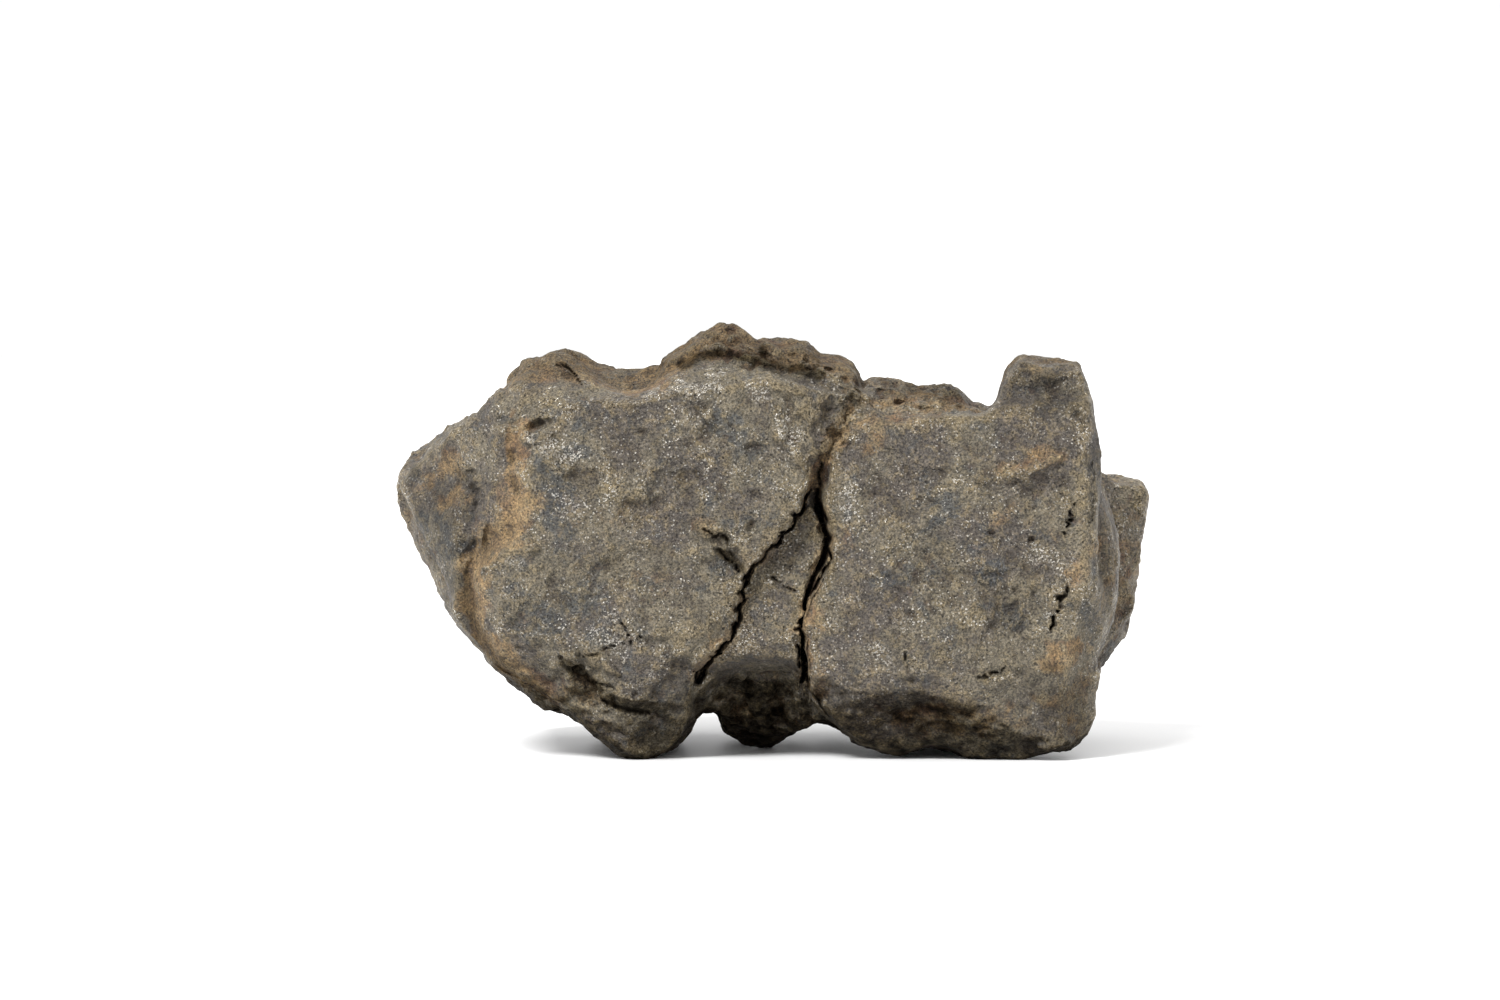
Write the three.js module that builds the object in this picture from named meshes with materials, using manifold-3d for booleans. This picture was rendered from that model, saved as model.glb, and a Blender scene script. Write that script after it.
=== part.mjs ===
// A weathered meteorite fragment, one solid stone about 53 mm wide, standing on its own points.
// Millimetres: x runs to the right, y away from the viewer and z up, and it stands on z = 0.
// It is built of rough blocks grown together, and the cracks and hollows are then cut into them.
import * as THREE from 'three';
import { ImprovedNoise } from 'three/addons/math/ImprovedNoise.js';
import { mergeVertices } from 'three/addons/utils/BufferGeometryUtils.js';
import Module from 'manifold-3d';

const wasm = await Module();
wasm.setup();

// Relief of the broken surface: how wide and high each size of unevenness is, and whether it runs in ridges.
const unevenness = [
  { width: 9.0, height: 0.5, ridged: false },
  { width: 4.6, height: 0.8, ridged: true },
  { width: 2.3, height: 0.3, ridged: false },
];

// The two broad faces at the front and the wedge between them, as outlines seen from the front: [x, z].
const leftFaceOutline = [
  [-18.5, 24.8], [-17.5, 25.3], [-16.2, 26.8], [-14.5, 27.5], [-13.0, 27.6], [-12.1, 26.1], [-10.8, 25.1],
  [-8.8, 24.9], [-7.4, 25.7], [-6.2, 26.8], [-4.8, 27.3], [-2.8, 26.9], [1.9, 25.3], [4.6, 24.6],
  [5.0, 23.2], [4.3, 21.6], [2.9, 20.1], [2.3, 17.4], [0.9, 14.9], [-1.0, 12.6], [-2.1, 11.4], [-2.6, 8.1],
  [-3.8, 6.8], [-5.0, 5.5], [-5.5, 3.1], [-6.2, 1.2], [-7.2, 0.0], [-8.7, -0.7], [-10.0, 0.0], [-11.3, 1.3],
  [-12.9, 2.6], [-16.6, 5.3], [-18.0, 6.3], [-19.6, 9.2], [-20.1, 11.5], [-19.6, 13.3], [-17.6, 14.5],
  [-17.2, 17.5], [-18.2, 19.9], [-20.2, 21.6], [-20.0, 23.4],
];
const rightFaceOutline = [
  [6.0, 23.2], [4.6, 21.6], [4.0, 20.4], [3.9, 18.6], [3.4, 17.0], [3.9, 14.5], [3.8, 13.0], [3.2, 11.5],
  [2.6, 10.0], [2.3, 8.1], [2.3, 5.8], [2.7, 4.1], [4.2, 2.6], [5.9, 0.9], [7.9, 0.4], [10.0, 0.7],
  [11.6, 1.1], [13.0, 0.2], [14.8, -0.5], [17.0, 0.1], [19.7, 0.7], [21.4, 1.6], [22.0, 3.1], [21.8, 4.4],
  [22.3, 5.5], [22.9, 9.4], [22.0, 12.5], [21.9, 14.5], [22.3, 21.6], [22.0, 22.9], [21.1, 25.6],
  [20.7, 26.8], [19.3, 27.2], [17.9, 27.1], [16.7, 27.5], [15.8, 27.1], [15.2, 25.6], [14.8, 24.1],
  [13.8, 23.4], [11.3, 23.4], [8.6, 23.4],
];
const wedgeOutline = [
  [3.3, 20.2], [1.8, 17.2], [0.2, 14.5], [-1.6, 12.5], [-2.7, 11.0], [-3.4, 8.8], [-4.2, 6.6], [-4.6, 4.8],
  [-3.0, 3.2], [0.0, 2.6], [3.2, 3.0], [3.6, 7.7], [4.2, 10.0], [4.8, 12.4], [4.8, 14.8], [4.4, 17.5],
];

// What stands behind them.
const leftShoulderOutline = [
  [-18.9, 24.4], [-20.4, 22.9], [-22.2, 22.2], [-23.8, 21.3], [-25.4, 20.2], [-25.6, 19.3], [-26.0, 18.1],
  [-25.7, 16.9], [-25.1, 14.8], [-24.3, 13.0], [-23.2, 11.0], [-21.8, 8.9], [-20.8, 7.6], [-18.4, 4.7],
  [-17.0, 3.7], [-15.6, 2.9], [-14.0, 2.4], [-10.0, 1.8], [-4.0, 2.4], [0.0, 8.0], [0.0, 18.0],
  [-4.0, 24.0], [-10.0, 25.3], [-15.0, 25.6],
];
const leftCrownOutline = [
  [-19.0, 24.0], [-17.9, 25.6], [-17.2, 26.8], [-16.2, 27.0], [-15.0, 26.4], [-12.9, 27.1], [-11.7, 26.6],
  [-10.0, 26.4], [-8.3, 26.5], [-7.3, 27.0], [-6.0, 27.6], [-4.0, 26.0], [-3.0, 20.0], [-12.0, 16.0],
  [-20.0, 20.0],
];
const middleCrestOutline = [
  [-8.0, 26.7], [-6.2, 28.2], [-4.9, 29.3], [-3.4, 30.0], [-2.0, 29.7], [-1.1, 29.0], [0.2, 28.7],
  [1.9, 28.4], [3.0, 27.8], [3.6, 27.2], [4.8, 27.0], [5.8, 26.6], [6.2, 25.4], [6.0, 24.0], [4.5, 20.0],
  [-6.0, 20.0], [-9.0, 23.0],
];
const hornOutline = [
  [15.4, 21.5], [15.5, 25.2], [16.0, 26.5], [17.0, 27.0], [18.3, 26.8], [19.6, 26.9], [20.5, 26.5],
  [21.0, 25.2], [21.7, 23.0], [21.6, 20.5], [18.0, 19.5],
];
const rightCrestOutline = [
  [6.0, 24.8], [6.9, 25.7], [8.2, 25.7], [9.9, 25.3], [11.9, 25.5], [13.0, 25.1], [14.2, 24.3],
  [15.7, 23.8], [18.0, 22.0], [18.0, 18.0], [4.0, 18.0], [5.0, 23.0],
];
const rightRearOutline = [
  [23.4, 18.7], [25.2, 18.9], [26.2, 18.5], [26.9, 17.2], [26.9, 15.9], [26.5, 14.7], [26.4, 12.7],
  [26.0, 10.9], [25.9, 8.4], [25.4, 7.3], [24.3, 6.7], [23.0, 4.5], [19.0, 3.0], [13.0, 3.5], [11.0, 12.0],
  [13.0, 18.0], [18.0, 19.5],
];

const coreOutline = [
  [-22.5, 19.0], [-18.6, 23.6], [-12.0, 25.2], [-6.0, 26.2], [0.0, 27.4], [4.6, 26.6], [6.2, 24.6],
  [13.0, 24.4], [16.0, 23.6], [20.5, 21.5], [23.0, 17.5], [24.0, 11.0], [22.0, 4.5], [15.0, 1.6],
  [9.0, 0.8], [0.0, 0.6], [-8.0, 1.0], [-13.0, 2.4], [-18.5, 5.5], [-22.0, 10.0],
];

// Each block: its centre, its half size (which spreads the points over it), its outline if it has one, and
// its flat faces. A face looks one way and passes through a point.
const blocks = {
  leftFace: {
    centre: [-8, 6, 13],
    size: [13, 6, 14],
    outline: leftFaceOutline,
    detail: 9,
    faces: [
      { facing: [0.02, -1, 0.02], at: [-6, 0, 14] },
      { facing: [-0.3, -0.85, -0.4], at: [-14, 0.25, 7.5] },
      { facing: [-0.1, -0.9, -0.4], at: [-9, 0.5, 3.4] },
      { facing: [0.35, -0.85, -0.4], at: [-5, 0.3, 8] },
      { facing: [-0.5, -0.8, 0.3], at: [-15.6, 0.1, 20.5] },
      { facing: [-0.55, -0.8, -0.1], at: [-18.4, 0.6, 11] },
      { facing: [0.05, -0.6, 0.8], at: [-1, 0.3, 25.2] },
      { facing: [-0.1, -0.6, 0.8], at: [-10, 0.3, 24.2] },
      { facing: [0.5, -0.8, 0.3], at: [3.6, 0.2, 23] },
      { facing: [0, 0.3, -0.95], at: [-8.7, 4.5, -0.3] },
      { facing: [0.1, 1, 0], at: [-8, 13, 13] },
    ],
  },
  rightFace: {
    centre: [12.5, 6, 12],
    size: [10, 6, 13],
    outline: rightFaceOutline,
    detail: 7,
    faces: [
      { facing: [0.03, -1, 0.03], at: [12, 0, 14] },
      { facing: [-0.1, -0.85, -0.55], at: [8, 0.2, 4.8] },
      { facing: [0.1, -0.97, -0.22], at: [15, 0.2, 4.6] },
      { facing: [0.65, -0.75, -0.2], at: [19.6, 0.3, 7] },
      { facing: [0.85, -0.55, 0], at: [21.8, 1.0, 18] },
      { facing: [-0.1, -0.6, 0.8], at: [9, 0.3, 23] },
      { facing: [0, 0.8, 0.6], at: [18, 6.5, 26] },
      { facing: [0, 0.3, -0.95], at: [15, 5, -0.3] },
      { facing: [0, 1, 0], at: [12, 12, 12] },
    ],
  },
  wedge: {
    centre: [1.2, 6, 11],
    size: [4, 5, 8],
    outline: wedgeOutline,
    detail: 4,
    faces: [
      { facing: [-0.1, -1, 0.08], at: [1, 0.9, 12] },
      { facing: [-0.1, -0.8, -0.6], at: [0, 1.4, 6.5] },
      { facing: [0, 1, 0], at: [1, 11, 11] },
    ],
  },
  leftShoulder: {
    centre: [-14, 12, 13],
    size: [11, 10, 11],
    outline: leftShoulderOutline,
    detail: 6,
    faces: [
      { facing: [-0.1, -1, 0], at: [-12, 3.4, 13] },
      { facing: [-0.66, -0.75, 0.1], at: [-18.5, 4.6, 18] },
      { facing: [-0.55, -0.6, -0.5], at: [-20, 6.2, 9] },
      { facing: [-0.3, -0.5, 0.8], at: [-20, 6, 22.6] },
      { facing: [0, -0.4, -0.9], at: [-12, 9, 2.2] },
      { facing: [-0.9, 0.4, -0.1], at: [-24.5, 14, 13] },
      { facing: [-0.7, 0.7, 0.15], at: [-21, 19, 14] },
      { facing: [-0.2, 0.6, 0.75], at: [-14, 18, 22] },
      { facing: [0.1, 1, 0], at: [-14, 23, 13] },
    ],
  },
  leftCrown: {
    centre: [-12, 9, 21],
    size: [8, 6, 6],
    outline: leftCrownOutline,
    detail: 5,
    faces: [
      { facing: [0, -1, 0.1], at: [-12, 4.5, 24] },
      { facing: [-0.6, -0.1, 0.8], at: [-18.2, 9, 25] },
      { facing: [0, 0.5, 0.86], at: [-12, 10, 26] },
      { facing: [0, 1, 0.2], at: [-12, 15, 22] },
      { facing: [0, 0, -1], at: [-12, 9, 16] },
    ],
  },
  middleCrest: {
    centre: [-1, 8, 24],
    size: [8, 6, 5],
    outline: middleCrestOutline,
    detail: 5,
    faces: [
      { facing: [0, -0.85, 0.5], at: [-2, 3.2, 27.4] },
      { facing: [0, -1, 0], at: [-1, 2.4, 22] },
      { facing: [-0.5, -0.5, 0.7], at: [-5.4, 4.5, 28] },
      { facing: [0.3, -0.5, 0.8], at: [2.5, 5, 28] },
      { facing: [0, 0.6, 0.8], at: [-1, 9, 28] },
      { facing: [0, 1, 0], at: [-1, 14, 24] },
    ],
  },
  horn: {
    centre: [18.4, 3.6, 23.4],
    size: [3, 3, 4],
    outline: hornOutline,
    detail: 3,
    faces: [
      { facing: [0.05, -1, 0.02], at: [18, 0.75, 24] },
      { facing: [0, 1, 0.25], at: [18, 6.4, 25] },
      { facing: [0.8, -0.6, 0], at: [21.2, 1.2, 23] },
    ],
  },
  rightCrest: {
    centre: [11, 12, 21],
    size: [7, 7, 5],
    outline: rightCrestOutline,
    detail: 5,
    faces: [
      { facing: [0, -0.5, 0.87], at: [10, 7.5, 25] },
      { facing: [0.1, 0.6, 0.8], at: [11, 13, 24.6] },
      { facing: [0, 1, 0], at: [11, 18, 21] },
      { facing: [0, -1, 0], at: [11, 3, 21] },
    ],
  },
  rightRear: {
    centre: [19, 17, 12],
    size: [8, 7, 8],
    outline: rightRearOutline,
    detail: 5,
    faces: [
      { facing: [0.25, -0.95, 0.1], at: [24, 13.5, 12] },
      { facing: [0.5, 0.8, 0.1], at: [24, 21, 12] },
      { facing: [0.1, 0.7, -0.7], at: [19, 21, 6] },
      { facing: [0, 0.5, 0.86], at: [20, 20, 18] },
      { facing: [0, 1, 0], at: [19, 24, 12] },
    ],
  },
  leftBack: {
    centre: [-9, 19, 16],
    size: [11, 8, 8],
    outline: coreOutline,
    detail: 6,
    faces: [
      { facing: [-0.25, 0.95, 0.15], at: [-9, 27.4, 15] },
      { facing: [0.7, 0.7, 0.1], at: [1.5, 25, 16] },
      { facing: [-0.2, 0.45, 0.87], at: [-8, 20, 23.2] },
      { facing: [0.6, 0.2, 0.8], at: [0, 18, 23.4] },
      { facing: [-0.75, 0.65, 0.1], at: [-18.5, 22, 15] },
      { facing: [-0.8, 0.1, 0.6], at: [-19, 18, 20.5] },
      { facing: [-0.1, 0.6, -0.8], at: [-9, 24, 8.2] },
      { facing: [0, -1, 0], at: [0, 12, 15] },
      { facing: [0.3, 0, -0.95], at: [-8, 18, 6] },
    ],
  },
  rightBack: {
    centre: [10, 17, 11],
    size: [11, 9, 10],
    outline: coreOutline,
    detail: 6,
    faces: [
      { facing: [0.3, 0.93, 0.2], at: [10, 26.6, 11] },
      { facing: [-0.75, 0.65, -0.1], at: [0.5, 25, 11] },
      { facing: [0.1, 0.7, 0.7], at: [9, 23, 20.2] },
      { facing: [0.35, 0.3, 0.88], at: [13, 17, 22.6] },
      { facing: [0.9, 0.4, 0.1], at: [21.5, 18, 13] },
      { facing: [0.15, 0.75, -0.65], at: [10, 24.5, 4.2] },
      { facing: [0, -1, 0], at: [0, 9, 15] },
      { facing: [-0.9, 0, 0.3], at: [0, 18, 14] },
      { facing: [0, 0, -1], at: [8, 18, 1.6] },
    ],
  },
  core: {
    centre: [1, 15, 13],
    size: [23, 13, 12],
    outline: coreOutline,
    detail: 6,
    faces: [
      { facing: [0, -1, 0], at: [0, 2.6, 12] },
      { facing: [-0.1, -0.4, -0.9], at: [0, 7, 2.2] },
      { facing: [0.05, 0.1, -1], at: [0, 18, 0.9] },
      { facing: [0.1, 1, 0.12], at: [0, 25.6, 12] },
      { facing: [-0.85, 0.5, 0.05], at: [-19, 18, 12] },
      { facing: [-0.5, 0.85, 0.05], at: [-10, 26, 12] },
      { facing: [0.6, 0.8, -0.1], at: [15, 24.5, 12] },
      { facing: [0.95, 0.3, -0.1], at: [23, 16, 12] },
      { facing: [-0.15, 0.55, 0.8], at: [-8, 17, 23.5] },
      { facing: [0.15, 0.45, 0.88], at: [6, 16, 23.5] },
      { facing: [0.1, 0.8, 0.6], at: [0, 22.6, 18.6] },
      { facing: [-0.1, 0.75, -0.65], at: [0, 25, 4] },
      { facing: [-0.6, 0.1, -0.8], at: [-11, 15, 2.8] },
      { facing: [0.6, 0.2, -0.8], at: [13, 16, 2.4] },
    ],
  },
};

// Cracks as seen from the front: [x, z, width] from one end to the other, cut back to a depth.
const cracks = {
  main: {
    depth: 8,
    line: [
      [6.6, 29.0, 2.0], [6.1, 26.2, 1.5], [5.5, 24.2, 1.2], [4.9, 22.6, 1.3], [4.0, 21.2, 1.5],
      [3.1, 20.1, 1.7], [2.9, 18.6, 1.1], [3.0, 17.3, 1.0], [3.3, 16.4, 0.7], [3.7, 14.9, 0.55],
      [3.5, 13.6, 0.8], [2.8, 12.4, 0.6], [2.2, 10.7, 0.45], [2.2, 9.4, 0.5], [2.1, 7.7, 0.5],
      [2.3, 6.3, 0.8], [2.1, 5.0, 0.6], [2.0, 3.6, 0.5],
    ],
  },
  branch: {
    depth: 5,
    line: [
      [2.7, 17.6, 0.5], [1.8, 16.5, 0.5], [0.5, 14.8, 0.4], [-0.4, 13.7, 0.5], [-1.5, 12.6, 0.45],
      [-2.0, 11.4, 0.4], [-2.4, 10.2, 0.4], [-2.3, 9.2, 0.45], [-2.9, 8.0, 0.45], [-3.8, 7.1, 0.6],
      [-4.6, 6.2, 0.9], [-5.0, 5.0, 1.1],
    ],
  },
};

// Lumps grown on the blocks: where they are, their half size, and their turn in degrees seen from the front.
const lumps = [
  { at: [0.4, 12.0, 4.0], size: [5.0, 4.0, 4.3], turn: 0 },
  { at: [-9.2, 20.0, 5.6], size: [5.0, 5.2, 5.9], turn: 6 },
  { at: [12.0, 20.5, 5.6], size: [5.6, 5.0, 5.9], turn: -8 },
  { at: [-16.6, 8.0, 25.4], size: [1.5, 2.0, 1.5], turn: 20 },
];

// Hollows: scoops taken out of the surface, described in the same way.
const hollows = [
  { at: [-10.0, 5.0, 26.6], size: [3.9, 2.9, 2.2], turn: 0 },
  { at: [-3.3, 0.1, 14.8], size: [1.5, 1.2, 0.8], turn: -15 },
  { at: [1.2, 0.0, 22.9], size: [0.7, 0.9, 1.4], turn: 20 },
  { at: [-12.5, 0.5, 5.7], size: [2.2, 1.0, 0.9], turn: -50 },
  { at: [-17.3, 0.8, 18.0], size: [0.9, 1.7, 4.2], turn: -4 },
  { at: [-21.2, 5.2, 18.2], size: [1.9, 1.7, 1.3], turn: 20 },
  { at: [19.8, 0.0, 16.3], size: [0.3, 0.9, 1.3], turn: 18 },
  { at: [19.0, 0.1, 10.2], size: [0.4, 1.0, 1.9], turn: 19 },
  { at: [-0.9, 1.2, 3.3], size: [3.8, 4.4, 3.2], turn: -8 },
  { at: [-4.7, 14.0, 0.2], size: [1.5, 17.0, 3.0], turn: 0 },
  { at: [3.3, 12.0, 0.1], size: [2.2, 18.0, 2.0], turn: 0 },
  { at: [-7.5, 30.2, 16.0], size: [6.0, 4.0, 5.0], turn: 20 },
  { at: [9.5, 30.0, 8.0], size: [6.5, 4.4, 4.0], turn: -15 },
  { at: [-21.0, 24.0, 14.5], size: [4.6, 4.6, 5.4], turn: 25 },
  { at: [3.5, 19.5, 26.6], size: [6.0, 4.6, 3.6], turn: 12 },
];

const noise = new ImprovedNoise();

function relief(point) {
  let sum = 0;
  for (const { width, height, ridged } of unevenness) {
    const value = noise.noise(point.x / width + 7.3, point.y / width, point.z / width);
    sum += height * (ridged ? 0.25 - Math.abs(value) : value);
  }
  return sum;
}

// How far an outline lies from the centre, going out along (x, z).
function outlineReach(outline, centre, x, z) {
  let reach = 0;
  outline.forEach(([ax, az], i) => {
    const [bx, bz] = outline[(i + 1) % outline.length];
    const [px, pz, ex, ez] = [ax - centre.x, az - centre.z, bx - ax, bz - az];
    const across = x * ez - z * ex;
    const out = (px * ez - pz * ex) / across;
    const along = (px * z - pz * x) / across;
    if (along >= 0 && along <= 1 && out > reach) reach = out;
  });
  return reach;
}

// A sphere whose points are moved out to whichever comes first, the outline or a flat face, with the edges
// rounded.
function blockGeometry({ centre, size, outline, faces, detail }) {
  const edgeSharpness = 44;
  const middle = new THREE.Vector3(...centre);
  const planes = faces.map(({ facing, at }) => {
    const normal = new THREE.Vector3(...facing).normalize();
    return { normal, reach: normal.dot(new THREE.Vector3(...at).sub(middle)) };
  });
  const geometry = new THREE.IcosahedronGeometry(1, detail).scale(...size);
  const points = geometry.attributes.position;
  const way = new THREE.Vector3();
  const point = new THREE.Vector3();
  for (let i = 0; i < points.count; i++) {
    way.fromBufferAttribute(points, i).normalize();
    let nearness = 0;
    for (const { normal, reach } of planes) {
      nearness += (Math.max(0, normal.dot(way)) / reach) ** edgeSharpness;
    }
    const level = Math.hypot(way.x, way.z);
    if (outline && level > 1e-6) {
      const reach = outlineReach(outline, middle, way.x / level, way.z / level);
      nearness += (level / reach) ** edgeSharpness;
    }
    const out = nearness ** (-1 / edgeSharpness);
    point.copy(way).multiplyScalar(out).add(middle);
    point.addScaledVector(way, relief(point));
    points.setXYZ(i, point.x, point.y, point.z);
  }
  return geometry;
}

function crackGeometry({ line, depth }) {
  const [ahead, tipShare] = [3, 0.35];
  const edge = (side) => line.map(([x, z, width]) => new THREE.Vector2(x + side * width / 2, z));
  const shape = new THREE.Shape([...edge(-1), ...edge(1).reverse()]);
  const geometry = new THREE.ExtrudeGeometry(shape, { depth: depth + ahead, bevelEnabled: false });
  const points = geometry.attributes.position;
  for (let i = 0; i < points.count; i++) {
    const [x, z, back] = [points.getX(i), points.getY(i), points.getZ(i) > 0 ? 1 : 0];
    const nearest = line.reduce((a, b) => (Math.abs(b[1] - z) < Math.abs(a[1] - z) ? b : a));
    points.setXYZ(i, back ? nearest[0] + (x - nearest[0]) * tipShare : x, back * (depth + ahead) - ahead, z);
  }
  return geometry;
}

function lumpGeometry({ at, size, turn }) {
  const lumpRoughness = Math.min(1.6, Math.max(...size) * 0.4);
  const detail = Math.min(3, Math.round(1 + Math.max(...size) * 0.3));
  const geometry = new THREE.IcosahedronGeometry(1, detail).scale(...size);
  geometry.rotateY(-THREE.MathUtils.degToRad(turn)).translate(...at);
  const points = geometry.attributes.position;
  const point = new THREE.Vector3();
  for (let i = 0; i < points.count; i++) {
    point.fromBufferAttribute(points, i);
    const way = point.clone().sub(new THREE.Vector3(...at)).normalize();
    point.addScaledVector(way, relief(point) * lumpRoughness);
    points.setXYZ(i, point.x, point.y, point.z);
  }
  return geometry;
}

function solidOf(geometry) {
  const loose = geometry.index ? geometry.toNonIndexed() : geometry;
  const bare = new THREE.BufferGeometry().setAttribute('position', loose.getAttribute('position'));
  const merged = mergeVertices(bare, 1e-4);
  const vertProperties = merged.attributes.position.array;
  const triVerts = new Uint32Array(merged.index.array);
  const solid = new wasm.Manifold(new wasm.Mesh({ numProp: 3, vertProperties, triVerts }));
  if (solid.volume() > 0) return solid;
  for (let i = 1; i < triVerts.length; i += 3) {
    [triVerts[i], triVerts[i + 1]] = [triVerts[i + 1], triVerts[i]];
  }
  return new wasm.Manifold(new wasm.Mesh({ numProp: 3, vertProperties, triVerts }));
}

function geometryOf(solid) {
  const { vertProperties, triVerts } = solid.getMesh();
  const geometry = new THREE.BufferGeometry();
  geometry.setAttribute('position', new THREE.BufferAttribute(new Float32Array(vertProperties), 3));
  geometry.setIndex(new THREE.BufferAttribute(new Uint32Array(triVerts), 1));
  return geometry;
}

let stone = Object.values(blocks).map((block) => solidOf(blockGeometry(block))).reduce((a, b) => a.add(b));
for (const lump of lumps) stone = stone.add(solidOf(lumpGeometry(lump)));
for (const crack of Object.values(cracks)) stone = stone.subtract(solidOf(crackGeometry(crack)));
for (const hollow of hollows) stone = stone.subtract(solidOf(lumpGeometry(hollow)));

// The points it stands on are worn to small flats at z = 0.
stone = stone.subtract(solidOf(new THREE.BoxGeometry(80, 80, 10).translate(0, 15, -5)));

const geometry = geometryOf(stone);
geometry.computeBoundingBox();
const { min, max } = geometry.boundingBox;
geometry.translate(-(min.x + max.x) / 2, -(min.y + max.y) / 2, -min.z);
geometry.computeVertexNormals();

const group = new THREE.Group();
const rust = new THREE.MeshStandardMaterial({ color: 0x6f655a, roughness: 0.7, metalness: 0.15 });
const mesh = new THREE.Mesh(geometry, rust);
mesh.name = 'meteorite';
group.add(mesh);

export default group;
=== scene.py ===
# A weathered iron meteorite standing on a pale table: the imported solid, carved finer and given its surface.
import bpy, bmesh, math
import numpy as np
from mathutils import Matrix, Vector, kdtree, noise


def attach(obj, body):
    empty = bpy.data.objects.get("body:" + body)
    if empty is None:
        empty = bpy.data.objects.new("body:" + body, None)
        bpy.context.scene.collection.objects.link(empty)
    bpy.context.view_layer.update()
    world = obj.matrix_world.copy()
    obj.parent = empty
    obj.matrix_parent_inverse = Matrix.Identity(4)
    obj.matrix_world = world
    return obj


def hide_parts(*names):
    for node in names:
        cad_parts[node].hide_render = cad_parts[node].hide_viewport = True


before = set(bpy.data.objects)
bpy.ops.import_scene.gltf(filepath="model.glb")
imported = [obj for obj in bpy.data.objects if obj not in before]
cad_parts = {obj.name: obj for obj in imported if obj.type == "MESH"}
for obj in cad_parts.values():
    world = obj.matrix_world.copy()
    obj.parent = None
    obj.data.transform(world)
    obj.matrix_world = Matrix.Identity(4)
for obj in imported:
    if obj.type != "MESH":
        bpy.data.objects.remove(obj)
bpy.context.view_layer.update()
scene = bpy.context.scene
mm = 0.001
frontZero = np.array((-0.56, -14.27, 0.0))  # mm: places below are measured from here, on the front plane


def toFrame(point):
    return Vector((np.array(point) + frontZero) * mm)


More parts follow.
